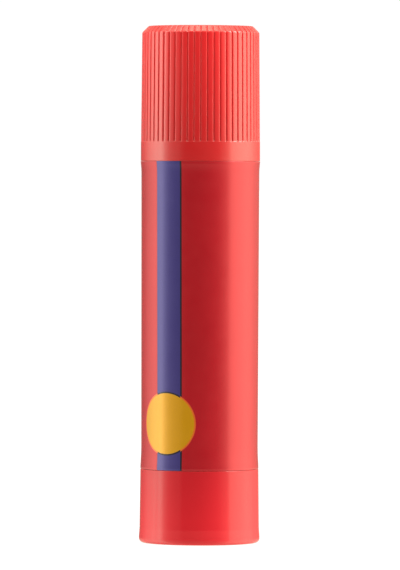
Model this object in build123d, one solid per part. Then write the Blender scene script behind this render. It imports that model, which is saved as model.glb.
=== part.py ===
from build123d import *
import os

# A twist-up glue stick with its cap on, standing on its knob. Millimetres, +Z up the stick,
# origin at the centre of the knob's foot, front of the label towards -Y.

# Lengths up the outside of the stick
knob_height = 12.6
knob_seam = 0.12
panel_length = 52.28
cap_seam = 0.13
cap_length = 22.87
neck_length = 14.5

# Bore and the walls and clearances that lie round it
bore_radius = 7.85
neck_wall = 1.0
barrel_wall = 1.955
cap_clearance = 0.2
cap_wall = 1.1
spigot_wall = 1.05
spigot_clearance = 0.1
knob_wall = 1.06

# Barrel's label panel: drafted, with a flare and a plain collar at each end
panel_draft = 0.11
panel_edge_round = 0.15
low_flare = 0.125
low_flare_length = 3.4
low_collar = 0.6
high_flare = 0.12
high_flare_length = 2.0
high_collar = 0.25

# Barrel's inside, mouth and lower end
floor_thickness = 1.3
spigot_length = 3.0
spigot_chamfer = 0.4
rib_width = 1.0
rib_rise = 0.45
rib_setback = 0.5
mouth_round = 0.3
bead_height = 5.0
bead_width = 1.4
bead_rise = 0.14

# Printed film round the barrel
film_thickness = 0.1
film_gap = 0.03
film_margin = 0.2

# Cap
cap_band_height = 3.15
cap_taper = 0.165
cap_chamfer = 1.0
cap_edge_round = 0.25
cap_mouth_chamfer = 0.35
cap_roof = 1.1
snap_groove_depth = 0.12
groove_width = 0.34
groove_depth = 0.26
skirt_wall = 0.8
skirt_clearance = 0.08
skirt_glue_gap = 0.4
skirt_chamfer = 0.25

# Knob
foot_recess = 0.4
foot_ring_width = 1.1
foot_corner_round = 0.8
foot_height = 2.1
foot_flare = 0.085
foot_flare_length = 0.8
foot_draft = 0.06
knob_draft = 0.115
knob_rim_round = 0.2
knob_rim_chamfer = 0.3
knob_floor = 1.4
hub_wall = 1.2
knob_web_width = 0.9
knob_web_drop = 1.4

# Screw spindle, whose left-handed thread lifts the carrier on a clockwise turn from below
thread_lead = 3.0
thread_core_radius = 1.85
thread_depth = 0.7
thread_root_width = 1.1
thread_crest_width = 0.6
thread_tip_allowance = 1.2
thread_tip_chamfer = 0.8
journal_radius = 3.0
journal_clearance = 0.08
thrust_gap = 0.15
flange_rise = 0.9
flange_thickness = 1.2
collar_rise = 0.5
collar_height = 0.9
collar_gap = 0.1
collar_top_ledge = 0.1
hex_flats = 5.2
hex_clearance = 0.05
hex_end_gap = 0.8
socket_end_gap = 0.3

# Glue carrier
carrier_rest_gap = 0.28
carrier_height = 8.0
carrier_floor = 1.5
carrier_clearance = 0.25
carrier_wall = 0.75
cup_lip_rise = 0.25
cup_lip_height = 0.6
nut_length = 5.5
nut_wall = 1.55
nut_radial_clearance = 0.2
nut_axial_clearance = 0.18
wiper_clearance = 0.08
wiper_height = 0.5
wiper_inset = 0.5
spent_depth = 5.2

# Glue
glue_clearance = 0.15
glue_gap = 0.03
glue_recess = 1.0
glue_edge_round = 0.35
glue_core_clearance = 0.35
glue_core_end_gap = 0.4
rib_clearance = 0.15

# How many of each repeated feature, and what a cut runs past its surface
grip_groove_count = 56
anti_turn_rib_count = 4
knob_web_count = 6
overrun = 0.5

# Heights that follow from the lengths
panel_low = knob_height + knob_seam
shoulder = panel_low + panel_length
mouth = shoulder + neck_length
cap_low = shoulder + cap_seam
cap_top = cap_low + cap_length
spigot_low = panel_low - spigot_length
bore_floor = spigot_low + floor_thickness
glue_top = mouth - glue_recess

# Radii that follow from the bore
neck_radius = bore_radius + neck_wall
panel_radius = bore_radius + barrel_wall
panel_top_radius = panel_radius + panel_draft
cap_bore_radius = neck_radius + cap_clearance
cap_band_radius = cap_bore_radius + cap_wall
cap_top_radius = cap_band_radius - cap_taper
spigot_radius = bore_radius + spigot_wall
knob_bore_radius = spigot_radius + spigot_clearance
knob_top_radius = knob_bore_radius + knob_wall
knob_base_radius = knob_top_radius + knob_draft
foot_radius = knob_base_radius + foot_flare + foot_draft
rib_inner_radius = bore_radius - rib_rise

# Spindle and carrier, stacked up from the barrel's floor
thread_crest_radius = thread_core_radius + thread_depth
flange_top = spigot_low - thrust_gap
hub_top = flange_top - flange_thickness
knob_floor_top = foot_recess + knob_floor
collar_low = bore_floor + collar_gap
collar_top = collar_low + collar_height
thread_start = collar_low + collar_height / 2
carrier_low = collar_top + carrier_rest_gap
carrier_top = carrier_low + carrier_height
nut_top = carrier_low + nut_length
carrier_radius = bore_radius - carrier_clearance
cup_radius = carrier_radius - carrier_wall
cup_lip_radius = cup_radius - cup_lip_rise
cup_floor = carrier_low + carrier_floor
cup_lip_low = carrier_top - cup_lip_height
nut_radius = thread_crest_radius + nut_radial_clearance + nut_wall
glue_travel = mouth - spent_depth - carrier_top
spindle_top = nut_top + glue_travel + thread_tip_allowance
print("glue travel", round(glue_travel, 3), "in turns", round(glue_travel / thread_lead, 3))


def turned(outline):
    """A solid of revolution from a closed outline given as (radius, height)."""
    return revolve(Plane.XZ * make_face(outline), Axis.Z)


def turned_corners(corners, rounds):
    """A turned solid from corner points, each with its own corner radius."""
    return turned(FilletPolyline(*corners, radius=rounds, close=True))


def rod(radius, low, high):
    """A cylinder on the stick's axis between two heights."""
    return Pos(0, 0, low) * Cylinder(radius, high - low, align=(Align.CENTER, Align.CENTER, Align.MIN))


def hexagon_bar(flats, low, high):
    """A hexagonal bar on the axis, measured across its flats."""
    outline = RegularPolygon(flats / 2, 6, major_radius=False)
    return Pos(0, 0, low) * extrude(outline, high - low)


def radial_bar(inner, outer, width, low, high):
    """A bar that points out along +X between two radii."""
    bar = Box(outer - inner, width, high - low, align=(Align.MIN, Align.CENTER, Align.MIN))
    return Pos(inner, 0, low) * bar


def around(count, piece):
    """Copies of a piece, evenly spaced about the axis."""
    return [place * piece for place in PolarLocations(0, count)]


def panel_body(grow):
    """The barrel's outside below the shoulder, solid to the axis and grown outwards."""
    low_end = Vector(panel_radius + grow, panel_low + low_collar + low_flare_length)
    high_end = Vector(panel_top_radius + grow, shoulder - high_collar - high_flare_length)
    slope = high_end - low_end
    low_edge = panel_radius + low_flare + grow
    high_edge = panel_top_radius + high_flare + grow
    low_collar_top = (low_edge, panel_low + low_collar)
    high_collar_low = (high_edge, shoulder - high_collar)
    outline = [
        FilletPolyline((0, panel_low), (low_edge, panel_low), low_collar_top, radius=panel_edge_round),
        TangentArc(low_end, low_collar_top, tangent=-slope),
        Line(low_end, high_end),
        TangentArc(high_end, high_collar_low, tangent=slope),
        FilletPolyline(high_collar_low, (high_edge, shoulder), (0, shoulder), radius=panel_edge_round),
        Line((0, shoulder), (0, panel_low)),
    ]
    return turned(outline)


def neck_and_spigot():
    """The thin neck above the shoulder and the spigot below the panel, solid to the axis."""
    neck_low = shoulder - overrun
    neck_corners = [(0, neck_low), (neck_radius, neck_low), (neck_radius, mouth), (0, mouth)]
    neck = turned_corners(neck_corners, [0, 0, mouth_round, 0])
    spigot_corners = [
        (0, spigot_low),
        (spigot_radius - spigot_chamfer, spigot_low),
        (spigot_radius, spigot_low + spigot_chamfer),
        (spigot_radius, panel_low + overrun),
        (0, panel_low + overrun),
    ]
    return neck + turned(Polyline(*spigot_corners, close=True))


def neck_bead():
    """The low round bead on the neck that clicks into the cap's groove."""
    middle = shoulder + bead_height
    low = (neck_radius, middle - bead_width / 2)
    high = (neck_radius, middle + bead_width / 2)
    crest = (neck_radius + bead_rise, middle)
    root = neck_radius - neck_wall / 2
    back = Polyline(high, (root, high[1]), (root, low[1]), low)
    return turned([ThreePointArc(low, crest, high), back])


def barrel():
    """The tube: panel, neck, bead and spigot, bored out above a floor, with anti-turn ribs."""
    body = panel_body(0) + neck_and_spigot() + neck_bead()
    bore = rod(bore_radius, bore_floor, mouth + overrun)
    spindle_hole = rod(journal_radius + journal_clearance, spigot_low - overrun, bore_floor + overrun)
    rib_top = glue_top - rib_setback
    rib = radial_bar(rib_inner_radius, bore_radius + neck_wall / 2, rib_width, bore_floor - overrun, rib_top)
    return body - bore - spindle_hole + around(anti_turn_rib_count, rib)


def label_sleeve():
    """The printed film shrunk on the barrel, flares and all."""
    outside = film_gap + film_thickness
    reach = panel_top_radius + high_flare + outside + overrun
    span = rod(reach, panel_low + film_margin, shoulder - film_margin)
    return (panel_body(outside) & span) - panel_body(film_gap)


def grip_groove():
    """One V groove of the cap's grip: up the tapered wall, then up the chamfer to the flat top."""
    out = groove_depth + overrun
    half_width = groove_width / 2 * out / groove_depth
    heights_and_radii = [
        (cap_low + cap_band_height, cap_band_radius),
        (cap_top - cap_chamfer, cap_top_radius),
        (cap_top + overrun, cap_top_radius - cap_chamfer - overrun),
    ]
    sections = []
    for height, radius in heights_and_radii:
        root = radius - groove_depth
        vee = Polyline((root, 0), (root + out, half_width), (root + out, -half_width), close=True)
        sections.append(Pos(0, 0, height) * make_face(vee))
    return loft(sections, ruled=True)


def cap():
    """The push-on cap: grooved shell, snap groove inside, thin skirt that plugs the mouth."""
    roof = cap_top - cap_roof
    skirt_outer = bore_radius - skirt_clearance
    skirt_inner = skirt_outer - skirt_wall
    skirt_low = glue_top + skirt_glue_gap
    corners_and_rounds = [
        ((0, cap_top), 0),
        ((cap_top_radius - cap_chamfer, cap_top), 0),
        ((cap_top_radius, cap_top - cap_chamfer), 0),
        ((cap_band_radius, cap_low + cap_band_height), 0),
        ((cap_band_radius, cap_low), cap_edge_round),
        ((cap_bore_radius + cap_mouth_chamfer, cap_low), 0),
        ((cap_bore_radius, cap_low + cap_mouth_chamfer), 0),
        ((cap_bore_radius, roof), 0),
        ((skirt_outer, roof), 0),
        ((skirt_outer, skirt_low + skirt_chamfer), 0),
        ((skirt_outer - skirt_chamfer, skirt_low), 0),
        ((skirt_inner, skirt_low), 0),
        ((skirt_inner, roof), 0),
        ((0, roof), 0),
    ]
    shell = turned_corners([c for c, _ in corners_and_rounds], [r for _, r in corners_and_rounds])
    middle = shoulder + bead_height
    low = (cap_bore_radius, middle - bead_width / 2 - snap_groove_depth)
    high = (cap_bore_radius, middle + bead_width / 2 + snap_groove_depth)
    deepest = (cap_bore_radius + snap_groove_depth, middle)
    snap_groove = turned([ThreePointArc(low, deepest, high), Line(high, low)])
    return shell - snap_groove - around(grip_groove_count, grip_groove())


def knob_shell():
    """The knob's cup: flared foot, drafted wall, recessed underside."""
    flare_low = Vector(knob_base_radius + foot_flare, foot_height)
    flare_high = Vector(knob_base_radius, foot_height + foot_flare_length)
    rim = Vector(knob_top_radius, knob_height)
    ring_inner = foot_radius - foot_corner_round - foot_ring_width
    foot = FilletPolyline(
        (0, foot_recess),
        (ring_inner - foot_recess, foot_recess),
        (ring_inner, 0),
        (foot_radius, 0),
        flare_low,
        radius=[0, 0, foot_corner_round],
    )
    inside = FilletPolyline(
        flare_high,
        rim,
        (knob_bore_radius + knob_rim_chamfer, knob_height),
        (knob_bore_radius, knob_height - knob_rim_chamfer),
        (knob_bore_radius, knob_floor_top),
        (0, knob_floor_top),
        (0, foot_recess),
        radius=[knob_rim_round, 0, 0, 0, 0],
    )
    flare = TangentArc(flare_high, flare_low, tangent=flare_high - rim)
    return turned([foot, flare, inside])


def twist_knob():
    """The knob: its cup, the hub with the spindle's hexagonal socket, and the webs between them."""
    hub_radius = hex_flats / 2 + hex_clearance + hub_wall
    web_top = hub_top - knob_web_drop
    low = knob_floor_top - knob_floor / 2
    hub = rod(hub_radius, low, hub_top)
    web = radial_bar(hub_radius - hub_wall / 2, knob_bore_radius + knob_wall / 2, knob_web_width, low, web_top)
    socket_low = knob_floor_top + hex_end_gap - socket_end_gap
    socket = hexagon_bar(hex_flats + 2 * hex_clearance, socket_low, hub_top + overrun)
    return knob_shell() + hub + around(knob_web_count, web) - socket


def threaded_rod(start, high, radial_growth, axial_growth):
    """A rod with the left-handed thread, grown all round where it is the nut's cutter.

    The ridge's flanks go on below the core's surface, so that they meet it at a clean angle, and
    the core runs past both ends of the ridge. The caller cuts the rod to length.
    """
    core_radius = thread_core_radius + radial_growth
    crest = thread_crest_radius + radial_growth
    crest_half = thread_crest_width / 2 + axial_growth
    sunk = core_radius - thread_depth / 2
    sunk_half = crest_half + (thread_root_width - thread_crest_width) * 3 / 4
    profile = Polyline(
        (sunk, start - sunk_half),
        (crest, start - crest_half),
        (crest, start + crest_half),
        (sunk, start + sunk_half),
        close=True,
    )
    path = Helix(thread_lead, high + thread_lead - start, crest, center=(0, 0, start), lefthand=True)
    ridge = sweep(Plane.XZ * make_face(profile), path=path, is_frenet=True)
    return rod(core_radius, start - thread_lead, high + 2 * thread_lead) + ridge


def screw_spindle():
    """The threaded rod, with its hexagonal foot, thrust flange, journal and snap collar."""
    lower_corners = [
        (0, hub_top),
        (journal_radius + flange_rise, hub_top),
        (journal_radius + flange_rise, flange_top),
        (journal_radius, flange_top),
        (journal_radius, collar_low),
        (journal_radius + collar_rise, collar_low),
        (thread_crest_radius + collar_top_ledge, collar_top),
        (0, collar_top),
    ]
    foot = hexagon_bar(hex_flats, knob_floor_top + hex_end_gap, hub_top + flange_thickness / 2)
    envelope_corners = [
        (0, collar_low),
        (thread_crest_radius + overrun, collar_low),
        (thread_crest_radius + overrun, spindle_top - thread_tip_chamfer - overrun),
        (thread_crest_radius - thread_tip_chamfer, spindle_top),
        (0, spindle_top),
    ]
    screw = threaded_rod(thread_start, spindle_top, 0, 0) & turned(Polyline(*envelope_corners, close=True))
    return screw + turned(Polyline(*lower_corners, close=True)) + foot


def rib_slots(low, high):
    """Cutters that clear the barrel's anti-turn ribs."""
    inner = rib_inner_radius - rib_clearance
    width = rib_width + 2 * rib_clearance
    slot = radial_bar(inner, bore_radius + overrun, width, low, high)
    return around(anti_turn_rib_count, slot)


def glue_carrier():
    """The piston cup that the glue is cast in, with the nut in its hub and two wiper lips."""
    corners = [
        (0, carrier_low),
        (carrier_radius, carrier_low),
        (carrier_radius, carrier_top),
        (cup_lip_radius, carrier_top),
        (cup_lip_radius, cup_lip_low),
        (cup_radius, cup_lip_low - cup_lip_rise),
        (cup_radius, cup_floor),
        (nut_radius, cup_floor),
        (nut_radius, nut_top),
        (0, nut_top),
    ]
    cup = turned(Polyline(*corners, close=True))
    wiper_radius = bore_radius - wiper_clearance
    wiper_root = carrier_radius - carrier_wall / 2
    for low in (carrier_low + wiper_inset, carrier_top - wiper_inset - wiper_height):
        wiper_corners = [
            (wiper_root, low),
            (carrier_radius, low),
            (wiper_radius, low + wiper_height / 2),
            (carrier_radius, low + wiper_height),
            (wiper_root, low + wiper_height),
        ]
        cup += turned(Polyline(*wiper_corners, close=True))
    thread = threaded_rod(thread_start - thread_lead, nut_top, nut_radial_clearance, nut_axial_clearance)
    thread &= rod(nut_radius, carrier_low - overrun, nut_top + overrun)
    return cup - thread - rib_slots(carrier_low - overrun, carrier_top + overrun)


def glue_column():
    """The glue: cast into the carrier's cup, round a core for the spindle, and flat on top."""
    core_radius = thread_crest_radius + glue_core_clearance
    core_top = spindle_top + glue_core_end_gap
    glue_radius = bore_radius - glue_clearance
    corners_and_rounds = [
        ((0, glue_top), 0),
        ((glue_radius, glue_top), glue_edge_round),
        ((glue_radius, carrier_top + glue_gap), 0),
        ((cup_lip_radius - glue_gap, carrier_top + glue_gap), 0),
        ((cup_lip_radius - glue_gap, cup_lip_low), 0),
        ((cup_radius - glue_gap, cup_lip_low - cup_lip_rise), 0),
        ((cup_radius - glue_gap, cup_floor + glue_gap), 0),
        ((nut_radius + glue_gap, cup_floor + glue_gap), 0),
        ((nut_radius + glue_gap, nut_top + glue_gap), 0),
        ((core_radius, nut_top + glue_gap), 0),
        ((core_radius, core_top), 0),
        ((0, core_top), 0),
    ]
    column = turned_corners([c for c, _ in corners_and_rounds], [r for _, r in corners_and_rounds])
    return column - rib_slots(carrier_low, glue_top + overrun)


pieces = {
    "barrel": barrel,
    "label_sleeve": label_sleeve,
    "cap": cap,
    "twist_knob": twist_knob,
    "screw_spindle": screw_spindle,
    "glue_carrier": glue_carrier,
    "glue_column": glue_column,
}
os.makedirs("parts", exist_ok=True)
for name, make in pieces.items():
    export_step(make(), f"parts/{name}.step")
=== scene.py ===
import math

import bmesh
import bpy
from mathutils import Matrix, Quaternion, Vector


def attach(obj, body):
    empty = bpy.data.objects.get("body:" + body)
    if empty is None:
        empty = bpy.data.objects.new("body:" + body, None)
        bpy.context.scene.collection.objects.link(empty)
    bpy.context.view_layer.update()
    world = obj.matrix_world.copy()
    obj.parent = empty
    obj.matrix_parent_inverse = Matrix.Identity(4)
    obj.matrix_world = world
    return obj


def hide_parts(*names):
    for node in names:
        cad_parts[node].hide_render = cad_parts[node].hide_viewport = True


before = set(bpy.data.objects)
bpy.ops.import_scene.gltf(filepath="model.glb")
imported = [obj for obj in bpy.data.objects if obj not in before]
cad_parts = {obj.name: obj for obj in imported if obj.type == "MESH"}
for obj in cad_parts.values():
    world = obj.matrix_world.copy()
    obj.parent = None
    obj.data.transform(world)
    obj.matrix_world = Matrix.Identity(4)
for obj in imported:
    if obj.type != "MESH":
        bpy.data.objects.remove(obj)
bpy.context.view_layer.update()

# Barrel
# One red polypropylene moulding: a thick tube with a label panel, a thin neck for the cap above it
# and a spigot that snaps into the knob below. Four thin ribs inside keep the glue from turning.
mm = 0.001
full_turn = 2 * math.pi
steps_round = 192
on_axis = 0.0001 * mm
crease_angle = math.radians(32)

bore_radius = 7.85 * mm
bore_floor = 11.02 * mm
spindle_hole_radius = 3.08 * mm
spigot_radius = 8.9 * mm
spigot_low = 9.72 * mm
spigot_chamfer = 0.4 * mm
panel_low = 12.63 * mm
low_edge_radius = 9.93 * mm
low_edge_top = panel_low + 0.6 * mm
low_edge_rounding = 0.15 * mm
low_flare_top = 16.72 * mm
panel_low_radius = 9.805 * mm
panel_high_radius = 9.915 * mm
high_flare_low = 62.75 * mm
panel_slope = (panel_high_radius - panel_low_radius) / (high_flare_low - low_flare_top)
shoulder = 65.0 * mm
shoulder_rounding = 0.12 * mm
high_edge_radius = 10.035 * mm
high_edge_low = shoulder - 0.25 * mm
neck_radius = 8.85 * mm
bead_low = 69.3 * mm
bead_high = 70.7 * mm
bead_rise = 0.14 * mm
bead_steps = 8
mouth = 79.5 * mm
mouth_outer_rounding = 0.3 * mm
mouth_inner_rounding = 0.12 * mm
anti_turn_ribs = 4
anti_turn_rib_width = 1.0 * mm
anti_turn_rib_rise = 0.45 * mm
anti_turn_rib_top = 78.0 * mm
anti_turn_rib_slope = 0.1 * mm
rib_foot_widening = 1.02
barrel_red = (0.64, 0.0175, 0.025)
barrel_roughness = 0.3


def outline(corners, steps=6, hold=0.05 * mm):
    """Points (radius, height, share) along corners given as (radius, height, rounding, share).

    A corner may leave out its rounding and its share, which are then zero. Share says how far
    a point follows the relief of ring_mesh, and hold keeps a flat beside each rounding.
    """
    corners = [(*corner, 0, 0)[:4] for corner in corners]
    points = []
    for i, (radius, height, rounding, share) in enumerate(corners):
        here = Vector((radius, height))
        if rounding == 0:
            points.append((radius, height, share))
            continue
        back = (Vector(corners[i - 1][:2]) - here).normalized()
        ahead = (Vector(corners[(i + 1) % len(corners)][:2]) - here).normalized()
        half = back.angle(ahead) / 2
        reach = rounding / math.tan(half)
        centre = here + (back + ahead).normalized() * rounding / math.sin(half)
        first = here + back * reach - centre
        turn = first.angle_signed(here + ahead * reach - centre)
        arc = [here + back * (reach + hold)]
        for k in range(steps + 1):
            cos, sin = math.cos(-turn * k / steps), math.sin(-turn * k / steps)
            spoke = Vector((first.x * cos - first.y * sin, first.x * sin + first.y * cos))
            arc.append(centre + spoke)
        arc.append(here + ahead * (reach + hold))
        points += [(p.x, p.y, share) for p in arc]
    return points


def swept(start, end, start_slope, steps=6):
    """Points of a curve from start to end that leaves start along start_slope and bends one way."""
    (r0, z0), (r1, z1) = start, end
    miss = r1 - (r0 + start_slope * (z1 - z0))
    points = []
    for k in range(1, steps):
        t = k / steps
        height = z0 + (z1 - z0) * t
        points.append((r0 + start_slope * (height - z0) + miss * t * t, height, 0))
    return points


def bulge(radius, rise, start, end):
    """Points of a rounded ring on a wall, from the height start to the height end."""
    points = []
    for k in range(1, bead_steps):
        lean = math.cos(math.pi * (k / bead_steps - 0.5))
        points.append((radius + rise * lean, start + (end - start) * k / bead_steps, 0))
    return points


def even_angles(count):
    """Angles that share out the full turn."""
    return [full_turn * k / count for k in range(count)]


def angles_with_steps(radius, width):
    """Even angles, and a pair at each side of the places where the barrel's ribs lie."""
    half = width / 2 / radius
    angles = even_angles(steps_round)
    for middle in even_angles(anti_turn_ribs):
        for off in (-half * rib_foot_widening, -half, half, half * rib_foot_widening):
            angles.append((middle + off) % full_turn)
    return sorted(angles)


def stepped(radius, width, rise):
    """A relief that steps by rise, over a width, at the places where the barrel's ribs lie."""
    between_ribs = full_turn / anti_turn_ribs

    def relief(a):
        off = abs((a + between_ribs / 2) % between_ribs - between_ribs / 2) * radius
        return rise if off <= width / 2 else 0.0

    return relief


def rows_of(points, angles, relief):
    return [(radius, height, share, angles, relief) for radius, height, share in points]


def skin_between(low, high, wrap):
    """Faces between two rows of (index, angle), which may differ in count or be one point."""
    if len(low) == 1:
        low = low * len(high)
    elif len(high) == 1:
        high = high * len(low)
    if wrap:
        low = low + [(low[0][0], low[0][1] + full_turn)]
        high = high + [(high[0][0], high[0][1] + full_turn)]
    faces = []
    if len(low) == len(high):
        for (a, _), (b, _), (c, _), (d, _) in zip(low, low[1:], high[1:], high):
            faces.append(tuple(dict.fromkeys((a, b, c, d))))
        return faces
    i = j = 0
    while i < len(low) - 1 or j < len(high) - 1:
        low_next = low[i + 1][1] if i < len(low) - 1 else math.inf
        high_next = high[j + 1][1] if j < len(high) - 1 else math.inf
        if low_next <= high_next:
            faces.append((low[i][0], low[i + 1][0], high[j][0]))
            i += 1
        else:
            faces.append((low[i][0], high[j + 1][0], high[j][0]))
            j += 1
    return faces


def ring_mesh(name, rows, wrap=True, closed=False):
    """A mesh from rows of (radius, height, share, angles, relief).

    The rows run up the outside, over and down the inside. A share is how much of the relief
    goes outward, or a pair of how much goes outward and upward.
    """
    vertices, indexed, faces = [], [], []
    for radius, height, share, angles, relief in rows:
        row = []
        if radius < on_axis:
            row.append((len(vertices), angles[0]))
            vertices.append((0.0, 0.0, height))
        else:
            outward, upward = share if isinstance(share, tuple) else (share, 0.0)
            for a in angles:
                r, z = radius + outward * relief(a), height + upward * relief(a)
                row.append((len(vertices), a))
                vertices.append((r * math.cos(a), r * math.sin(a), z))
        indexed.append(row)
    if closed:
        indexed.append(indexed[0])
    for low, high in zip(indexed, indexed[1:]):
        faces += skin_between(low, high, wrap)
    mesh = bpy.data.meshes.new(name)
    mesh.from_pydata(vertices, [], faces)
    mesh.validate()
    return mesh


def finish_mesh(mesh):
    """Smooth shading that keeps the corners sharp."""
    mesh.shade_smooth()
    mesh.set_sharp_from_angle(angle=crease_angle)
    return mesh


def in_scene(name, mesh):
    thing = bpy.data.objects.new(name, mesh)
    bpy.context.scene.collection.objects.link(thing)
    return thing


def painted(thing, material):
    """The object with this material and no other."""
    thing.data.materials.clear()
    thing.data.materials.append(material)
    return thing


class Nodes:
    """A node tree under construction, with short ways to add to it."""

    def __init__(self, tree):
        self.tree = tree

    def add(self, kind, inputs=None, **settings):
        node = self.tree.nodes.new(kind)
        for key, value in settings.items():
            setattr(node, key, value)
        for key, value in (inputs or {}).items():
            self.put(node.inputs[key], value)
        return node

    def put(self, socket, value):
        if isinstance(value, bpy.types.NodeSocket):
            self.tree.links.new(value, socket)
        else:
            socket.default_value = value

    def maths(self, operation, *values):
        node = self.add("ShaderNodeMath", operation=operation)
        for socket, value in zip(node.inputs, values):
            self.put(socket, value)
        return node.outputs[0]

    def between(self, value, low, high, to_low=0.0, to_high=1.0, smooth=False):
        ends = {"From Min": low, "From Max": high, "To Min": to_low, "To Max": to_high}
        node = self.add("ShaderNodeMapRange", {"Value": value, **ends})
        if smooth:
            node.interpolation_type = "SMOOTHSTEP"
        return node.outputs["Result"]

    def mixed(self, share, first, second, blend="MIX"):
        node = self.add("ShaderNodeMix", data_type="RGBA", blend_type=blend)
        self.put(node.inputs["Factor"], share)
        for key, colour in (("A", first), ("B", second)):
            self.put(node.inputs[key], (*colour, 1.0) if isinstance(colour, tuple) else colour)
        return node.outputs["Result"]


class Finish(Nodes):
    """A material under construction, whose patterns lie still on the piece."""

    def __init__(self, name):
        self.material = bpy.data.materials.new(name)
        self.material.use_nodes = True
        super().__init__(self.material.node_tree)
        self.shader = self.tree.nodes["Principled BSDF"]
        self.place = self.add("ShaderNodeTexCoord").outputs["Object"]

    def give(self, property_name, value):
        self.put(self.shader.inputs[property_name], value)

    def noise(self, scale, detail=2.0, stretch=(1.0, 1.0, 1.0)):
        spread = self.add("ShaderNodeMapping", {"Vector": self.place, "Scale": stretch}).outputs[0]
        kind = {"Vector": spread, "Scale": scale, "Detail": detail}
        return self.add("ShaderNodeTexNoise", kind).outputs["Fac"]

    def uneven(self, noise, low=0.0, high=1.0):
        """A number from low to high that follows a noise, most of which lies from 0.3 to 0.7."""
        return self.between(noise, 0.3, 0.7, low, high)

    def varied(self, noise, colour, darkest, lightest):
        """A colour that is multiplied by something from darkest to lightest, as the noise goes."""
        dark, light = tuple(c * darkest for c in colour), tuple(c * lightest for c in colour)
        return self.mixed(self.uneven(noise), dark, light)

    def bump(self, height, distance, strength=0.5):
        inputs = {"Strength": strength, "Distance": distance, "Height": height}
        self.give("Normal", self.add("ShaderNodeBump", inputs).outputs[0])


def moulded_plastic(name, colour, roughness, shine=0.5, brightness_by_height=None):
    """Injection moulded polypropylene: faint flow marks in the colour and a finely uneven gloss.

    A last argument, if given, paints light and shade: two heights and the colour's brightness at
    each.
    """
    f = Finish(name)
    flow = f.noise(scale=95.0, detail=4.0, stretch=(1.0, 1.0, 0.35))
    tone = f.varied(flow, colour, darkest=0.97, lightest=1.02)
    # Painted light and shade: the colour is scaled brighter or darker with height.
    if brightness_by_height:
        up = f.add("ShaderNodeSeparateXYZ", {"Vector": f.place}).outputs["Z"]
        scaled = {"Vector": tone, "Scale": f.between(up, *brightness_by_height)}
        tone = f.add("ShaderNodeVectorMath", scaled, operation="SCALE").outputs[0]
    f.give("Base Color", tone)
    patches = f.noise(scale=420.0, detail=3.0)
    f.give("Roughness", f.uneven(patches, low=roughness * 0.88, high=roughness * 1.14))
    grain_share = 0.12
    grain = f.maths("MULTIPLY", f.noise(scale=5200.0, detail=1.0), grain_share)
    f.bump(f.maths("ADD", f.noise(scale=650.0), grain), distance=0.004 * mm)
    f.give("IOR", 1.49)
    f.give("Specular IOR Level", shine)
    return f


def barrel_mesh():
    points = outline([
        (spindle_hole_radius, spigot_low),
        (spigot_radius - spigot_chamfer, spigot_low),
        (spigot_radius, spigot_low + spigot_chamfer),
        (spigot_radius, panel_low),
        (low_edge_radius, panel_low, low_edge_rounding),
        (low_edge_radius, low_edge_top),
    ])
    low_flare = (panel_low_radius, low_flare_top), (low_edge_radius, low_edge_top)
    high_flare = (panel_high_radius, high_flare_low), (high_edge_radius, high_edge_low)
    points += swept(*low_flare, panel_slope)[::-1]
    points += [(*low_flare[0], 0), (*high_flare[0], 0)]
    points += swept(*high_flare, panel_slope)
    points += outline([
        (high_edge_radius, high_edge_low),
        (high_edge_radius, shoulder, shoulder_rounding),
        (neck_radius, shoulder),
        (neck_radius, bead_low),
    ])
    points += bulge(neck_radius, bead_rise, bead_low, bead_high)
    points += outline([
        (neck_radius, bead_high),
        (neck_radius, mouth, mouth_outer_rounding),
        (bore_radius, mouth, mouth_inner_rounding),
        (bore_radius, anti_turn_rib_top),
    ])
    points += [
        (bore_radius, anti_turn_rib_top - anti_turn_rib_slope, 1),
        (bore_radius, bore_floor, 1),
        (spindle_hole_radius, bore_floor, 0),
    ]
    angles = angles_with_steps(bore_radius, anti_turn_rib_width)
    ribs = stepped(bore_radius, anti_turn_rib_width, -anti_turn_rib_rise)
    return finish_mesh(ring_mesh("barrel_tube", rows_of(points, angles, ribs), closed=True))


barrel_plastic = moulded_plastic("red_barrel_plastic", barrel_red, barrel_roughness).material
barrel_tube = painted(in_scene("barrel_tube", barrel_mesh()), barrel_plastic)
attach(barrel_tube, "barrel")
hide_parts("barrel")

# Label
# A strip of printed film, red with a blue stripe and a yellow disc, wrapped round the panel and
# shrunk on. Its two ends overlap down the back, where the upper one is glued over the lower.
film_low = 12.645 * mm
film_high = 64.99 * mm
film_proud = 0.13 * mm
film_thickness = 0.055 * mm
film_edge_height = 0.03 * mm
film_edge_thinning = 0.012 * mm
film_steps = 240
low_rings = 10
low_ring_gap = 0.4 * mm
straight_low = 18 * mm
straight_high = 62 * mm
straight_rings = 24
high_rings = 10
high_ring_gap = 0.2 * mm
lap_width = 2.6 * mm
lap_ramp = 1.2 * mm
lap_glue = 0.008 * mm
lap_darkening = 0.16
lap_blur = 0.04 * mm
lap_steps = 8
ramp_inner_steps = 10
ramp_outer_steps = 12
cut_edge = 0.07 * mm
cut_pink = (0.75, 0.25, 0.24)
cut_paling = 0.5
film_red = (0.44, 0.0068, 0.0175)
stripe_blue = (0.038, 0.028, 0.195)
disc_yellow = (0.59, 0.286, 0.002)
outline_ink = (0.012, 0.008, 0.02)
rim_orange = (0.72, 0.14, 0.02)
print_radius = 10.0 * mm
print_blur = 0.03 * mm
stripe_centre = math.radians(-32.8)
stripe_half_width = 2.31 * mm
stripe_lean = 0.004
stripe_middle = 39 * mm
stripe_left_line = 0.13 * mm
stripe_right_line = 0.299 * mm
stripe_left_ink = 0.55
stripe_right_ink = 1.0
stripe_line_blur = 0.07 * mm
disc_centre = math.radians(-34.7)
disc_height = 20.57 * mm
disc_radius = 5.15 * mm
disc_line = 0.26 * mm
disc_line_blur = 0.05 * mm
film_smoothest = 0.2
film_roughest = 0.25
film_metallic = 0.22
film_shine = 0.6
ink_thickness_share = 0.35


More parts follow.
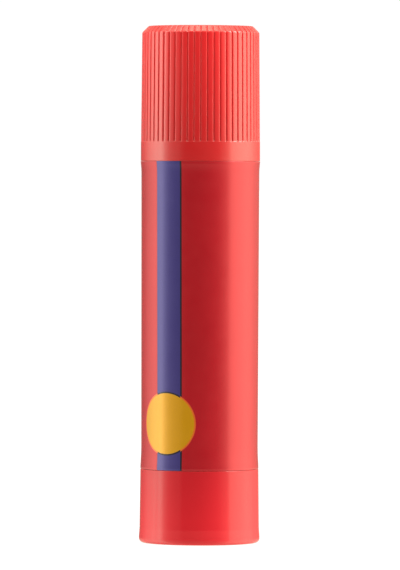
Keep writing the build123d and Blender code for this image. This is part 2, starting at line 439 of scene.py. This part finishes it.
def film_radius(height):
    """The barrel panel's outside radius at a height, flares and all."""
    straight = panel_low_radius + panel_slope * (height - low_flare_top)
    if low_flare_top <= height <= high_flare_low:
        return straight
    if height < low_flare_top:
        start, end, end_radius = low_flare_top, low_edge_top, low_edge_radius
    else:
        start, end, end_radius = high_flare_low, high_edge_low, high_edge_radius
    t = (height - start) / (end - start)
    if t >= 1:
        return end_radius
    return straight + (end_radius - panel_low_radius - panel_slope * (end - low_flare_top)) * t * t


def film_mesh():
    """The film as one closed ribbon: round the barrel once and on over its own end."""
    lap, ramp = lap_width / print_radius, lap_ramp / print_radius
    turns = [k / film_steps * full_turn for k in range(film_steps + 1)]
    turns += [ramp * k / ramp_inner_steps for k in range(1, ramp_inner_steps)]
    turns += [lap + ramp * k / ramp_outer_steps for k in range(ramp_outer_steps + 1)]
    turns += [full_turn + lap * k / lap_steps for k in range(1, lap_steps + 1)]
    turns = sorted(set(round(t, 6) for t in turns))
    heights = [film_low, film_low + film_edge_height]
    heights += [film_low + low_ring_gap * k for k in range(1, low_rings + 1)]
    straight = straight_high - straight_low
    heights += [straight_low + straight * k / straight_rings for k in range(straight_rings + 1)]
    heights += [high_flare_low + high_ring_gap * k for k in range(high_rings)]
    heights += [film_high - film_edge_height, film_high]
    vertices, faces = [], []
    for z in heights:
        thinning = film_edge_thinning if z in (film_low, film_high) else 0.0
        for side in ("outer", "inner"):
            for t in turns if side == "outer" else reversed(turns):
                share = min(1.0, max(0.0, (lap + ramp - t) / ramp))
                sunk = (film_thickness + lap_glue) * share * share * (3 - 2 * share)
                proud = film_proud - sunk - thinning
                if side == "inner":
                    proud += 2 * thinning - film_thickness
                r, a = film_radius(z) + proud, math.pi / 2 - t + lap
                vertices.append((r * math.cos(a), r * math.sin(a), z))
    loop = 2 * len(turns)
    for i in range(len(heights) - 1):
        for j in range(loop):
            k = (j + 1) % loop
            faces.append((i * loop + k, i * loop + j, (i + 1) * loop + j, (i + 1) * loop + k))
    top = (len(heights) - 1) * loop
    for j in range(len(turns) - 1):
        faces.append((j, j + 1, loop - 2 - j, loop - 1 - j))
        faces.append((top + j + 1, top + j, top + loop - 1 - j, top + loop - 2 - j))
    mesh = bpy.data.meshes.new("printed_label")
    mesh.from_pydata(vertices, [], faces)
    mesh.validate()
    return finish_mesh(mesh)


def printed_film():
    """Film printed on its back: flat ink colours under a smooth, satin surface."""
    f = Finish("printed_label_film")

    def inside(distance, blur):
        return f.between(distance, blur, -blur, smooth=True)

    def round_from(centre):
        return f.maths("MULTIPLY", f.maths("SUBTRACT", round_to, centre), print_radius)

    spot = f.add("ShaderNodeSeparateXYZ", {"Vector": f.place}).outputs
    round_to = f.maths("ARCTAN2", spot["X"], f.maths("MULTIPLY", spot["Y"], -1.0))

    lean = f.maths("MULTIPLY", f.maths("SUBTRACT", spot["Z"], stripe_middle), stripe_lean)
    from_stripe = f.maths("ADD", round_from(stripe_centre), lean)
    off_stripe = f.maths("SUBTRACT", f.maths("ABSOLUTE", from_stripe), stripe_half_width)
    in_stripe = inside(off_stripe, print_blur)
    across_stripe = (from_stripe, -stripe_half_width, stripe_half_width)
    line_width = f.between(*across_stripe, stripe_left_line, stripe_right_line)
    in_line = inside(f.maths("SUBTRACT", off_stripe, line_width), stripe_line_blur)
    line_weight = f.between(*across_stripe, stripe_left_ink, stripe_right_ink)

    across, up = round_from(disc_centre), f.maths("SUBTRACT", spot["Z"], disc_height)
    squares = f.maths("ADD", f.maths("MULTIPLY", across, across), f.maths("MULTIPLY", up, up))
    off_disc = f.maths("SUBTRACT", f.maths("SQRT", squares), disc_radius)
    in_disc = inside(off_disc, print_blur)
    in_rim = inside(f.maths("SUBTRACT", off_disc, disc_line), disc_line_blur)

    cloud = f.noise(scale=160.0, detail=3.0, stretch=(1.0, 1.0, 0.5))
    red = f.varied(cloud, film_red, darkest=0.95, lightest=1.05)
    lap_end = -math.pi + lap_width / print_radius
    blur = lap_blur / print_radius
    in_lap = f.between(round_to, lap_end + blur, lap_end - blur, smooth=True)
    deep_red = tuple(c * 0.5 for c in film_red)
    red = f.mixed(f.maths("MULTIPLY", in_lap, lap_darkening), red, deep_red)
    cut = cut_edge / print_radius
    at_cut = f.between(round_to, -math.pi + cut * 1.5, -math.pi + cut)
    red = f.mixed(f.maths("MULTIPLY", at_cut, cut_paling), red, cut_pink)

    print_screen = f.noise(scale=9000.0, detail=0.0)
    blue = f.varied(print_screen, stripe_blue, darkest=0.94, lightest=1.06)
    yellow = f.varied(print_screen, disc_yellow, darkest=0.97, lightest=1.03)
    ground = f.mixed(f.maths("MULTIPLY", in_line, line_weight), red, outline_ink)
    ground = f.mixed(in_stripe, ground, blue)
    ground = f.mixed(in_rim, ground, f.mixed(in_stripe, rim_orange, outline_ink))
    ground = f.mixed(in_disc, ground, yellow)
    f.give("Base Color", ground)
    patches = f.noise(scale=500.0, detail=3.0)
    f.give("Roughness", f.uneven(patches, film_smoothest, film_roughest))
    ripple = f.noise(scale=210.0, stretch=(1.0, 1.0, 0.3))
    ink = f.maths("MULTIPLY", in_disc, ink_thickness_share)
    f.bump(f.maths("ADD", ripple, ink), distance=0.012 * mm)
    f.give("IOR", 1.5)
    f.give("Specular IOR Level", film_shine)
    f.give("Metallic", film_metallic)
    return f.material


printed_label = painted(in_scene("printed_label", film_mesh()), printed_film())
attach(printed_label, "barrel")
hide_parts("label_sleeve")

# Spindle
# A left-handed screw moulded in natural polypropylene. Its hexagonal foot is pressed into the
# knob's hub and its collar snaps through the barrel's floor, so that it turns but can't lift out.
spindle_white = (0.62, 0.62, 0.61)
spindle_roughness = 0.38


def natural_plastic(name, colour, roughness):
    """Polypropylene without pigment: milky, slightly waxy, with faint flow marks."""
    f = moulded_plastic(name, colour, roughness)
    f.give("Subsurface Weight", 0.25)
    f.give("Subsurface Radius", (1.0, 0.95, 0.85))
    f.give("Subsurface Scale", 0.6 * mm)
    return f.material


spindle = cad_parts["screw_spindle"]
painted(spindle, natural_plastic("natural_spindle_plastic", spindle_white, spindle_roughness))

# Knob
# A red cup that is gripped to wind the glue: drafted wall, slightly flared foot and a recessed
# underside with the gate mark. A hub and six webs inside hold the spindle's hexagonal foot.
foot_radius = 10.29 * mm
foot_wide = 0.95 * mm
foot_taper = 0.05 * mm
foot_ring_inner = 8.42 * mm
foot_inner_rounding = 0.15 * mm
foot_outer_rounding = 0.75 * mm
foot_side_rounding = 0.5 * mm
foot_recess = 0.4 * mm
gate_rim_rounding = 0.08 * mm
gate_pip_rounding = 0.1 * mm
gate_dish_rounding = 0.06 * mm
gate_pip_radius = 0.35 * mm
gate_pip_low = foot_recess - 0.05 * mm
gate_dish_inner = 0.45 * mm
gate_dish_outer = 1.1 * mm
gate_dish_rim = 1.35 * mm
gate_dish_top = foot_recess + 0.12 * mm
flare_radius = 10.2 * mm
flare_low = 2.3 * mm
flare_high = 2.75 * mm
knob_base_radius = 10.175 * mm
knob_rim_radius = 10.06 * mm
knob_rim_rounding = 0.12 * mm
knob_height = 12.6 * mm
knob_bore_radius = 9.0 * mm
knob_bore_chamfer = 0.3 * mm
knob_floor_top = 1.8 * mm
knob_floor_rounding = 0.3 * mm
hub_radius = 3.85 * mm
hub_top = 8.37 * mm
hub_foot_rounding = 0.25 * mm
hub_top_rounding = 0.12 * mm
socket_half_width = 2.65 * mm
socket_low = 2.3 * mm
socket_flat = 0.62 * mm
socket_chamfer = 0.15 * mm
web_count = 6
web_width = 0.9 * mm
web_top_width = 0.86
web_top = 6.97 * mm
web_foot = 1.1 * mm
web_inner = 3.25 * mm
web_outer = 9.5 * mm
web_rounding = 0.15 * mm
join_within = 0.0005 * mm
knob_red = (0.625, 0.0185, 0.031)
knob_roughness = 0.125
knob_shine = 0.45
# Painted shade: the colour darkens from full at 4 mm up to 0.84 of it at the rim, under the label.
knob_painted_shade = (4.0 * mm, 12.6 * mm, 1.0, 0.84)


def socket_side(a):
    """How far the hexagonal socket lies outside the circle that its flats touch."""
    sixth = full_turn / 6
    return socket_half_width * (1 / math.cos(a % sixth - sixth / 2) - 1)


def knob_cup_mesh():
    rim_slope = (knob_rim_radius - knob_base_radius) / (knob_height - flare_high)
    points = outline([
        (0, gate_pip_low),
        (gate_pip_radius, gate_pip_low, gate_pip_rounding),
        (gate_dish_inner, gate_dish_top, gate_dish_rounding),
        (gate_dish_outer, gate_dish_top, gate_rim_rounding),
        (gate_dish_rim, foot_recess, gate_rim_rounding),
        (foot_ring_inner - foot_recess, foot_recess, foot_inner_rounding),
        (foot_ring_inner, 0, foot_inner_rounding),
        (foot_radius - foot_taper, 0, foot_outer_rounding),
        (foot_radius, foot_wide, foot_side_rounding),
        (flare_radius, flare_low),
    ], steps=8, hold=0.02 * mm)
    flare = (knob_base_radius, flare_high), (flare_radius, flare_low)
    points += swept(*flare, rim_slope)[::-1]
    points += outline([
        (knob_base_radius, flare_high),
        (knob_rim_radius, knob_height, knob_rim_rounding),
        (knob_bore_radius + knob_bore_chamfer, knob_height),
        (knob_bore_radius, knob_height - knob_bore_chamfer),
        (knob_bore_radius, knob_floor_top, knob_floor_rounding),
        (hub_radius, knob_floor_top, hub_foot_rounding),
        (hub_radius, hub_top, hub_top_rounding),
        (socket_half_width + socket_flat, hub_top),
        (socket_half_width + socket_chamfer, hub_top, 0, 1),
        (socket_half_width, hub_top - socket_chamfer, 0, 1),
        (socket_half_width, socket_low, 0, 1),
        (0, socket_low),
    ])
    return ring_mesh("knob_cup", rows_of(points, even_angles(steps_round), socket_side))


def web_mesh():
    """One web between the hub and the wall, thinner at its top so that it leaves the mould."""
    mesh = bpy.data.meshes.new("knob_web")
    web = bmesh.new()
    bmesh.ops.create_cube(web, size=1.0)
    for v in web.verts:
        x = web_inner if v.co.x < 0 else web_outer
        z, draft = (web_foot, 1.0) if v.co.z < 0 else (web_top, web_top_width)
        v.co = Vector((x, v.co.y * web_width * draft, z))
    top_edges = []
    for edge in web.edges:
        (x0, _, z0), (x1, _, z1) = edge.verts[0].co, edge.verts[1].co
        if min(z0, z1) > web_foot and abs(x0 - x1) > mm:
            top_edges.append(edge)
    rounding = {"offset": web_rounding, "segments": 3, "profile": 0.5}
    bmesh.ops.bevel(web, geom=top_edges, affect="EDGES", **rounding)
    web.to_mesh(mesh)
    web.free()
    return mesh


def copies_round_the_stick(name, count_name):
    """A node tree that sets copies of its mesh round the stick and joins them into one skin."""
    tree = bpy.data.node_groups.new(name, "GeometryNodeTree")
    kinds = {
        "Geometry": "NodeSocketGeometry",
        count_name: "NodeSocketInt",
        "Join within": "NodeSocketFloat",
        "Material": "NodeSocketMaterial",
    }
    sockets = {}
    for label, kind in kinds.items():
        socket = tree.interface.new_socket(label, in_out="INPUT", socket_type=kind)
        sockets[label] = socket.identifier
    tree.interface.new_socket("Geometry", in_out="OUTPUT", socket_type="NodeSocketGeometry")
    g = Nodes(tree)
    given = g.add("NodeGroupInput").outputs
    points = g.add("GeometryNodePoints", {"Count": given[count_name]}).outputs[0]
    step = g.maths("DIVIDE", full_turn, given[count_name])
    turn = g.maths("MULTIPLY", step, g.add("GeometryNodeInputIndex").outputs[0])
    spin = g.add("ShaderNodeCombineXYZ", {"Z": turn}).outputs[0]
    placing = {"Points": points, "Instance": given["Geometry"], "Rotation": spin}
    copies = g.add("GeometryNodeInstanceOnPoints", placing).outputs[0]
    real = g.add("GeometryNodeRealizeInstances", {0: copies}).outputs[0]
    joining = {"Geometry": real, "Distance": given["Join within"]}
    joined = g.add("GeometryNodeMergeByDistance", joining).outputs[0]
    paint = g.add("GeometryNodeSetMaterial", {"Geometry": joined, "Material": given["Material"]})
    g.add("NodeGroupOutput", {0: paint.outputs[0]})
    return tree, sockets


def made_plain(thing):
    """Turns what the object's modifiers make into its own mesh."""
    shown = thing.evaluated_get(bpy.context.evaluated_depsgraph_get())
    mesh = bpy.data.meshes.new_from_object(shown)
    thing.modifiers.clear()
    thing.data = mesh
    return mesh


def repeated(thing, tree_name, count_name, count, material):
    """Makes the object's mesh into count copies of itself round the stick."""
    tree, sockets = copies_round_the_stick(tree_name, count_name)
    maker = thing.modifiers.new(tree_name, "NODES")
    maker.node_group = tree
    maker[sockets[count_name]] = count
    maker[sockets["Join within"]] = join_within
    maker[sockets["Material"]] = material
    return made_plain(thing)


knob_gloss = (knob_roughness, knob_shine)
knob_plastic = moulded_plastic("red_knob_plastic", knob_red, *knob_gloss, knob_painted_shade).material
knob_webs = in_scene("knob_webs", web_mesh())
repeated(knob_webs, "webs_round_the_hub", "Web count", web_count, knob_plastic)
knob_cup = in_scene("knob_cup", knob_cup_mesh())
weld = knob_cup.modifiers.new("webs_moulded_on", "BOOLEAN")
weld.operation, weld.solver, weld.object = "UNION", "EXACT", knob_webs
finish_mesh(made_plain(knob_cup))
bpy.data.objects.remove(knob_webs)
painted(knob_cup, knob_plastic)
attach(knob_cup, "knob")
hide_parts("twist_knob")

# Glue carrier
# A natural polypropylene piston cup that climbs the spindle on the nut in its hub. Two thin lips
# wipe the bore, and slots in its rim run on the barrel's ribs.
carrier_white = (0.64, 0.64, 0.63)
carrier_roughness = 0.42
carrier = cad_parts["glue_carrier"]
painted(carrier, natural_plastic("natural_carrier_plastic", carrier_white, carrier_roughness))

# Glue
# Waxy white glue, poured warm into the carrier and set: its flat top has a rounded edge, and
# four shallow slots down its side are left by the barrel's ribs.
glue_radius = 7.7 * mm
glue_top = 78.5 * mm
glue_top_rounding = 0.35 * mm
glue_low = 20.33 * mm
glue_neck_radius = 6.57 * mm
glue_neck_low = 19.7 * mm
glue_cup_radius = 6.82 * mm
glue_cup_high = 19.45 * mm
glue_floor = 13.83 * mm
glue_nut_radius = 4.33 * mm
glue_nut_top = 17.83 * mm
glue_core_radius = 2.9 * mm
glue_core_top = 73.4 * mm
slot_width = 1.3 * mm
slot_inner_radius = 7.25 * mm
# The dish in the top, in mm: a radius, and how far the top lies lower there.
glue_dish = [(6.9, 0.0), (6.0, 0.03), (2.0, 0.08), (0.0, 0.09)]
glue_white = (0.52, 0.525, 0.555)


def glue_mesh():
    points = outline([
        (0, glue_core_top),
        (glue_core_radius, glue_core_top),
        (glue_core_radius, glue_nut_top),
        (glue_nut_radius, glue_nut_top),
        (glue_nut_radius, glue_floor),
        (glue_cup_radius, glue_floor),
        (glue_cup_radius, glue_cup_high),
        (glue_neck_radius, glue_neck_low),
        (glue_neck_radius, glue_low),
        (glue_radius, glue_low, 0, 1),
        (glue_radius, glue_top, glue_top_rounding, 1),
        *[(radius * mm, glue_top - depth * mm) for radius, depth in glue_dish],
    ])
    slots = stepped(glue_radius, slot_width, slot_inner_radius - glue_radius)
    angles = angles_with_steps(glue_radius, slot_width)
    return finish_mesh(ring_mesh("glue_block", rows_of(points, angles, slots)))


def waxy_glue():
    f = Finish("waxy_white_glue")
    streaks = f.noise(scale=180.0, detail=4.0, stretch=(1.0, 1.0, 0.12))
    f.give("Base Color", f.varied(streaks, glue_white, darkest=0.95, lightest=1.0))
    f.give("Roughness", f.uneven(f.noise(scale=700.0, detail=3.0), low=0.36, high=0.5))
    drag = f.noise(scale=900.0, detail=3.0, stretch=(1.0, 1.0, 0.06))
    f.bump(drag, distance=0.03 * mm, strength=0.6)
    f.give("Subsurface Weight", 0.35)
    f.give("Subsurface Radius", (1.0, 0.9, 0.75))
    f.give("Subsurface Scale", 1.2 * mm)
    return f.material


glue_block = painted(in_scene("glue_block", glue_mesh()), waxy_glue())
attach(glue_block, "carrier")
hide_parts("glue_column")

# Cap
# A red push-on cap. Fifty-six narrow grooves run up its wall and over its chamfer to the flat
# top, leaving a plain band at its mouth. A thin skirt inside plugs the barrel.
cap_low = 65.02 * mm
cap_top = 88.0 * mm
cap_top_radius = 9.985 * mm
cap_chamfer = 1.12 * mm
wall_top = cap_top - cap_chamfer
wall_top_rounding = 0.35 * mm
chamfer_top_rounding = 0.3 * mm
cap_band_radius = 10.15 * mm
cap_band_top = 68.28 * mm
band_step = 0.02 * mm
band_low_rounding = 0.06 * mm
wall_slope = (cap_top_radius - cap_band_radius) / (wall_top - cap_band_top)
wall_rings = 5
cap_bore_radius = 9.05 * mm
cap_bore_chamfer = 0.35 * mm
cap_mouth_radius = cap_bore_radius + cap_bore_chamfer
chamfer_foot_cut = 0.02 * mm
chamfer_foot_run = 0.03 * mm
mouth_ring_width = 0.15 * mm
cap_roof = 86.9 * mm
skirt_outer = 7.77 * mm
skirt_inner = 6.97 * mm
skirt_low = 78.9 * mm
skirt_chamfer = 0.25 * mm
snap_depth = 0.12 * mm
crown_lead = 2 * mm
top_ring_outer = 8.3 * mm
top_ring_inner = 8.1 * mm
top_dish_radius = 1.5 * mm
top_dish_slope = 0.2 * mm
top_dish_rim_rounding = 0.1 * mm
top_dish_rounding = 0.08 * mm
top_dish_depth = 0.14 * mm
top_pip_radius = 0.42 * mm
top_pip_slope = 0.06 * mm
top_pip_rounding = 0.05 * mm
top_pip_depth = 0.04 * mm
rib_count = 56
half_pitch = math.pi / rib_count
groove_radius = 10 * mm
section_slack = 1e-6
# The groove's section, in mm: the distance round from its middle, and its depth there.
groove_section = [
    (0.0, 0.165), (0.03, 0.16), (0.055, 0.141), (0.085, 0.095), (0.115, 0.053), (0.145, 0.027),
    (0.18, 0.0155), (0.26, 0.0075), (0.36, 0.003), (0.46, 0.0008), (0.561, 0.0),
]
# How the groove starts above the band: the height in mm, and the share of its depth there.
groove_start = [(0.0, 0.0), (0.04, 0.25), (0.1, 0.62), (0.18, 0.9), (0.3, 1.0)]
# How it dies out on the flat top: the distance inward in mm, and the share of its depth there.
groove_end = [(0.12, 0.72), (0.24, 0.36), (0.38, 0.1), (0.5, 0.0)]
cap_red = (0.65, 0.0095, 0.0155)
cap_roughness = 0.21
cap_shine = 0.9
# Painted light and shade: the colour is darker at the mouth and lighter towards the top, as if lit
# from above.
cap_painted_shading = (66.0 * mm, 86.0 * mm, 0.8, 1.12)


def groove(a):
    """How far the cap's wall lies inside its rib tops, at an angle between two grooves."""
    off = (half_pitch - abs(a - half_pitch)) * groove_radius / mm
    for (x0, d0), (x1, d1) in zip(groove_section, groove_section[1:]):
        if off <= x1 + section_slack:
            return -(d0 + (d1 - d0) * max(0.0, off - x0) / (x1 - x0)) * mm
    return 0.0


def across_one_rib(count):
    """Angles from the middle of one groove to the middle of the next."""
    return [2 * half_pitch * k / (count - 1) for k in range(count)]


def rib_sector_mesh():
    """One rib with half a groove on each side, from under the roof round to the top's middle."""
    off = [x * mm / groove_radius for x, _ in groove_section[:-1]]
    fine = sorted(off + [half_pitch] + [2 * half_pitch - o for o in off])
    coarse, few = across_one_rib(5), across_one_rib(3)
    snap_low, snap_high = bead_low - snap_depth, bead_high + snap_depth
    inside = [
        (0, cap_roof, 0),
        (skirt_inner, cap_roof, 0),
        (skirt_inner, skirt_low, 0),
        (skirt_outer - skirt_chamfer, skirt_low, 0),
        (skirt_outer, skirt_low + skirt_chamfer, 0),
        (skirt_outer, cap_roof, 0),
        (cap_bore_radius, cap_roof, 0),
        (cap_bore_radius, snap_high, 0),
        *bulge(cap_bore_radius, snap_depth, snap_high, snap_low),
        (cap_bore_radius, snap_low, 0),
        (cap_bore_radius, cap_low + cap_bore_chamfer, 0),
        (cap_mouth_radius - chamfer_foot_cut, cap_low + chamfer_foot_cut, 0),
        (cap_mouth_radius + chamfer_foot_run, cap_low, 0),
    ]
    outside = outline([
        (cap_mouth_radius + mouth_ring_width, cap_low),
        (cap_band_radius, cap_low, band_low_rounding),
        (cap_band_radius, cap_band_top - band_step),
    ])
    for rise, share in groove_start:
        step = band_step * min(1.0, rise / groove_start[1][0])
        radius = cap_band_radius - step + wall_slope * rise * mm
        outside.append((radius, cap_band_top + rise * mm, share))
    for k in range(1, wall_rings):
        height = cap_band_top + (wall_top - cap_band_top) * k / wall_rings
        step = band_step * (1 - k / wall_rings)
        radius = cap_band_radius - step + wall_slope * (height - cap_band_top)
        outside.append((radius, height, 1))
    crown = outline([
        (cap_top_radius, wall_top - crown_lead),
        (cap_top_radius, wall_top, wall_top_rounding),
        (cap_top_radius - cap_chamfer, cap_top, chamfer_top_rounding),
        (cap_top_radius - cap_chamfer - crown_lead, cap_top),
    ], steps=5, hold=0.03 * mm)
    for (r0, z0, _), (r, z, _), (r1, z1, _) in zip(crown, crown[1:], crown[2:]):
        along = Vector((r1 - r0, z1 - z0)).normalized()
        outside.append((r, z, (along.y, -along.x)))
    for inward, share in groove_end:
        outside.append((crown[-2][0] - inward * mm, cap_top, (0.0, share)))
    middle = outline([
        (top_ring_inner, cap_top),
        (top_dish_radius, cap_top, top_dish_rim_rounding),
        (top_dish_radius - top_dish_slope, cap_top - top_dish_depth, top_dish_rounding),
        (top_pip_radius, cap_top - top_dish_depth, top_pip_rounding),
        (top_pip_radius - top_pip_slope, cap_top - top_pip_depth, top_pip_rounding),
        (0, cap_top - top_pip_depth),
    ], steps=3, hold=0.015 * mm)
    rows = rows_of(inside, coarse, groove) + rows_of(outside, fine, groove)
    rows += rows_of([(top_ring_outer, cap_top, 0)], coarse, groove) + rows_of(middle, few, groove)
    return ring_mesh("rib_sector", rows, wrap=False)


cap_gloss = (cap_roughness, cap_shine)
cap_plastic = moulded_plastic("red_cap_plastic", cap_red, *cap_gloss, cap_painted_shading).material
ribbed_cap = in_scene("ribbed_cap", rib_sector_mesh())
finish_mesh(repeated(ribbed_cap, "ribs_round_the_cap", "Rib count", rib_count, cap_plastic))
painted(ribbed_cap, cap_plastic)
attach(ribbed_cap, "cap")
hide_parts("cap")

# Studio
# A white floor and backdrop that only the camera sees. The light comes from all round, bright to
# the left and right and dim in front, with a soft lamp high on the right. The lens is a long one.
room_reach = 30.0
floor_grey = (0.1, 0.1, 0.1)
floor_glow = 0.97
backdrop_glow = 1.0
backdrop_steps = 64
warm_light = (1.06, 1.0, 0.77)
cool_light = (1.03, 1.0, 0.85)
# A ramp's colours stay below one, so they are brightnesses divided by this.
brightest = 4.0
# Azimuth in degrees, 0 in front of the stick and 90 to its right, brightness and colour.
light_round_it = [
    (-180, 0.3, warm_light),
    (-150, 0.24, cool_light),
    (-136, 0.5, cool_light),
    (-127, 0.9, cool_light),
    (-119, 1.38, cool_light),
    (-106, 2.1, cool_light),
    (-97, 2.9, cool_light),
    (-91, 2.7, cool_light),
    (-84, 3.7, cool_light),
    (-80, 3.45, cool_light),
    (-77, 2.5, cool_light),
    (-72, 1.5, cool_light),
    (-63, 0.75, cool_light),
    (-50, 0.42, cool_light),
    (-38, 0.32, cool_light),
    (-34, 0.05, warm_light),
    (0, 0.05, warm_light),
    (20, 0.1, warm_light),
    (36, 0.22, warm_light),
    (51, 0.8, warm_light),
    (57, 1.1, warm_light),
    (62, 2.6, warm_light),
    (80, 3.0, warm_light),
    (102, 2.85, warm_light),
    (115, 2.05, warm_light),
    (130, 1.05, warm_light),
    (150, 0.45, warm_light),
    (180, 0.3, warm_light),
]
# Sine of the height angle, and how much of that light reaches there.
light_by_height = [
    (-1.0, 0.0), (-0.9, 0.25), (-0.5, 0.85), (-0.06, 0.92),
    (0.02, 1.0), (0.3, 1.0), (0.85, 0.65), (1.0, 0.2),
]
# Sine of the height angle, and the brightness that is added there on every side.
light_above_and_below = [
    (-1.0, 0.8), (-0.3, 0.7), (-0.12, 0.4), (-0.065, 0.0), (0.03, 0.0),
    (0.08, 0.3), (0.35, 0.35), (0.8, 0.7), (0.93, 1.15), (1.0, 3.7),
]
fill_azimuth = math.radians(80)
fill_height_angle = math.radians(35)
fill_distance = 1.0
fill_size = 0.5
fill_watts = 6.0
lens_mm = 379.8
sensor_mm = 36.0
camera_distance = 1.025
camera_height = 62.1 * mm
camera_pitch = math.radians(1.0173)
camera_roll = math.radians(0.19)


def camera_only(thing):
    """The floor and backdrop show to the camera and neither light nor darken the stick."""
    thing.visible_diffuse = thing.visible_glossy = False
    thing.visible_transmission = thing.visible_shadow = False


def glowing_white(name, strength):
    f = Finish(name)
    f.give("Emission Color", (1.0, 1.0, 1.0, 1.0))
    f.give("Emission Strength", strength)
    return f


def no_relief(_):
    return 0.0


floor_paint = glowing_white("studio_floor_white", floor_glow)
speck_grey = tuple(c * 0.985 for c in floor_grey)
speckled = floor_paint.mixed(floor_paint.noise(scale=3.0), floor_grey, speck_grey)
floor_paint.give("Base Color", speckled)
floor_paint.give("Roughness", 0.9)
floor_paint.give("Specular IOR Level", 0.0)
floor_mesh = bpy.data.meshes.new("studio_floor")
corner_sides = ((-1, -1), (1, -1), (1, 1), (-1, 1))
floor_corners = [(x * room_reach, y * room_reach, 0.0) for x, y in corner_sides]
floor_mesh.from_pydata(floor_corners, [], [(0, 1, 2, 3)])
camera_only(painted(in_scene("studio_floor", floor_mesh), floor_paint.material))

backdrop_paint = glowing_white("studio_backdrop_white", backdrop_glow)
backdrop_paint.give("Base Color", (0.0, 0.0, 0.0, 1.0))
backdrop_points = [
    (0.0, -room_reach, 0),
    (room_reach, -room_reach, 0),
    (room_reach, room_reach, 0),
    (0.0, room_reach, 0),
]
backdrop_rows = rows_of(backdrop_points, even_angles(backdrop_steps), no_relief)
backdrop_mesh = ring_mesh("studio_backdrop", backdrop_rows)
camera_only(painted(in_scene("studio_backdrop", backdrop_mesh), backdrop_paint.material))

sky = bpy.data.worlds.new("studio_light")
sky.use_nodes = True
light = Nodes(sky.node_tree)


def ramp(place, stops):
    """The colour at a place from 0 to 1 along stops of (place, colour)."""
    node = light.add("ShaderNodeValToRGB", {"Fac": place})
    elements = node.color_ramp.elements
    while len(elements) < len(stops):
        elements.new(0.5)
    for element, (position, colour) in zip(elements, stops):
        element.position, element.color = position, (*colour, 1.0)
    return node.outputs["Color"]


def tinted(level, tint):
    return tuple(level / brightest * c for c in tint)


towards = light.add("ShaderNodeTexCoord").outputs["Generated"]
way = light.add("ShaderNodeSeparateXYZ", {"Vector": towards}).outputs
azimuth = light.maths("ARCTAN2", way["X"], light.maths("MULTIPLY", way["Y"], -1.0))
round_it = light.between(azimuth, -math.pi, math.pi)
upward = light.between(way["Z"], -1.0, 1.0)
side_stops = [((a + 180) / 360, tinted(level, tint)) for a, level, tint in light_round_it]
fade_stops = [((h + 1) / 2, (level,) * 3) for h, level in light_by_height]
cover_stops = [((h + 1) / 2, tinted(level, warm_light)) for h, level in light_above_and_below]
sides, brightness_by_height, cover = ramp(round_it, side_stops), ramp(upward, fade_stops), ramp(upward, cover_stops)
all_light = light.mixed(1.0, light.mixed(1.0, sides, brightness_by_height, "MULTIPLY"), cover, "ADD")
background = light.tree.nodes["Background"]
light.put(background.inputs["Color"], all_light)
background.inputs["Strength"].default_value = brightest
bpy.context.scene.world = sky
bpy.context.scene.view_settings.view_transform = "Standard"

fill_way = Vector((
    math.sin(fill_azimuth) * math.cos(fill_height_angle),
    -math.cos(fill_azimuth) * math.cos(fill_height_angle),
    math.sin(fill_height_angle),
))
fill = in_scene("fill_light", bpy.data.lights.new("fill_light", "AREA"))
fill.data.size = fill_size
fill.data.energy = fill_watts
fill.location = fill_way * fill_distance
fill.rotation_mode = "QUATERNION"
fill.rotation_quaternion = fill_way.to_track_quat("Z", "Y")

view_camera = in_scene("studio_camera", bpy.data.cameras.new("studio_camera"))
view_camera.data.lens = lens_mm
view_camera.data.sensor_width = sensor_mm
view_camera.data.clip_start = 0.01
view_camera.data.clip_end = 50.0
view_camera.location = (0.0, -camera_distance, camera_height)
level = Vector((0, math.cos(camera_pitch), -math.sin(camera_pitch))).to_track_quat("-Z", "Y")
view_camera.rotation_mode = "QUATERNION"
view_camera.rotation_quaternion = level @ Quaternion((0, 0, 1), camera_roll)
bpy.context.scene.camera = view_camera
